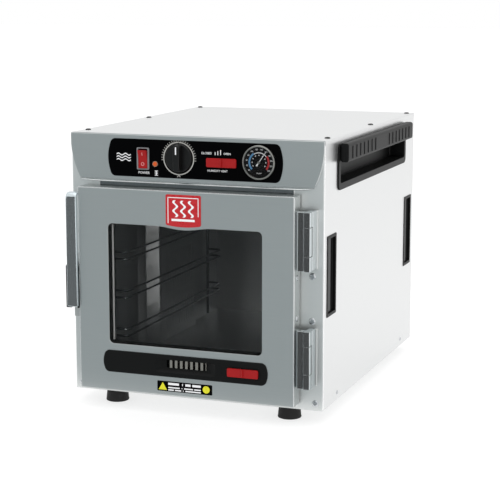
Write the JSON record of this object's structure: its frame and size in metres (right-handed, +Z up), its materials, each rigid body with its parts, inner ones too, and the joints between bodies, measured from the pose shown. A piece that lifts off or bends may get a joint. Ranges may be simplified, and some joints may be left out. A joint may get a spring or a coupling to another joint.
{
  "type": "food holding cabinet",
  "caption": "Countertop insulated food holding cabinet with a glazed hinged door, latch handle, control console, wire pan slides and side grab handles.",
  "frame": {"origin": "centre of the footprint of the whole object, on the surface that the feet stand on", "axes": "+Z up; -Y out of the door; +X to the right when facing the door"},
  "size_m": [0.544, 0.701, 0.5272],
  "materials": {
    "stainless": "fine brushed",
    "polished_steel": "bright annealed",
    "chrome": "polished plating",
    "black_moulding": "fine spark grain",
    "panel_film": "smooth film",
    "grey_moulding": "satin",
    "red_moulding": "gloss",
    "red_enamel": "gloss",
    "amber_lens": "clear tinted",
    "tinted_glass": "polished, grey tint",
    "clear_glass": "polished",
    "foot_rubber": "matt",
    "gasket_rubber": "matt",
    "wool_batt": "loose wool",
    "element_sheath": "heat stained"
  },
  "bodies": {
    "cabinet": {"front_frame": "stainless", "side_panel_left": "stainless", "side_panel_right": "stainless", "top_panel": "stainless", "back_panel": "stainless", "base_pan": "stainless", "feet": "foot_rubber", "foot_bolts": "polished_steel", "liner_wrap": "polished_steel", "liner_back": "polished_steel", "liner_roof": "polished_steel", "insulation": "wool_batt", "duct_panel_left": "polished_steel", "duct_panel_right": "polished_steel", "fan_baffle": "polished_steel", "rack_left": "polished_steel", "rack_right": "polished_steel", "fan_motor": "black_moulding", "heating_element": "element_sheath", "console_fascia": "stainless", "control_panel": "panel_film", "rocker_housing": "grey_moulding", "pilot_lamp": "amber_lens", "thermostat_body": "black_moulding", "gauge_case": "chrome", "gauge_glass": "clear_glass", "handle_pocket_left": "black_moulding", "handle_pocket_right": "black_moulding", "handle_bar_left": "black_moulding", "handle_bar_right": "black_moulding", "slot_trims": "black_moulding", "hinge_body_leaf_lower": "chrome", "hinge_body_leaf_upper": "chrome", "strike_plate": "polished_steel", "top_screws": "black_moulding", "front_screws": "chrome", "side_screws": "black_moulding", "terminal_block": "black_moulding", "power_inlet": "black_moulding"},
    "door": {"door_skin": "stainless", "door_inner_pan": "stainless", "window_pane_outer": "tinted_glass", "window_pane_inner": "tinted_glass", "window_spacer": "polished_steel", "door_gasket": "gasket_rubber", "door_trim": "black_moulding", "door_grille": "polished_steel", "badge_plate": "red_enamel", "hinge_door_leaf_lower": "chrome", "hinge_door_leaf_upper": "chrome", "hinge_pins": "polished_steel", "latch_body": "chrome", "door_screws": "chrome"},
    "latch_handle": {"latch_lever": "chrome"},
    "door_vent": {"door_vent_slider": "red_moulding"},
    "console_vent": {"console_vent_slider": "red_moulding"},
    "temperature_knob": {"thermostat_knob": "black_moulding"},
    "power_switch": {"power_rocker": "red_moulding"},
    "needle": {"gauge_needle": "polished_steel"},
    "blower": {"blower_wheel": "polished_steel"}
  },
  "joints": [
    {"name": "door_hinge", "type": "hinge", "parent": "cabinet", "child": "door", "pos_m": [0.231, -0.3335, 0.2362], "axis": [0, 0, 1], "range_deg": [0, 180]},
    {"name": "latch_pull", "type": "hinge", "parent": "door", "child": "latch_handle", "pos_m": [-0.2358, -0.3315, 0.204], "axis": [1, 0, 0], "range_deg": [0, 20], "stiffness_Nm_per_rad": 1.2, "springref_deg": -22.92},
    {"name": "door_vent_slide", "type": "slide", "parent": "door", "child": "door_vent", "axis": [1, 0, 0], "range_m": [-0.012, 0]},
    {"name": "console_vent_slide", "type": "slide", "parent": "cabinet", "child": "console_vent", "axis": [1, 0, 0], "range_m": [-0.01, 0.01]},
    {"name": "temperature_turn", "type": "hinge", "parent": "cabinet", "child": "temperature_knob", "pos_m": [-0.0294, -0.3087, 0.484], "axis": [0, 1, 0], "range_deg": [0, 300]},
    {"name": "power_toggle", "type": "hinge", "parent": "cabinet", "child": "power_switch", "pos_m": [-0.1017, -0.3089, 0.48025], "axis": [1, 0, 0], "range_deg": [-16, 0]},
    {"name": "needle_sweep", "type": "hinge", "parent": "cabinet", "child": "needle", "pos_m": [0.1285, -0.3113, 0.482], "axis": [0, 1, 0], "range_deg": [-170, 100]},
    {"name": "blower_spin", "type": "hinge", "parent": "cabinet", "child": "blower", "pos_m": [0, 0.0205, 0.4], "axis": [0, 0, 1], "continuous": true}
  ]
}
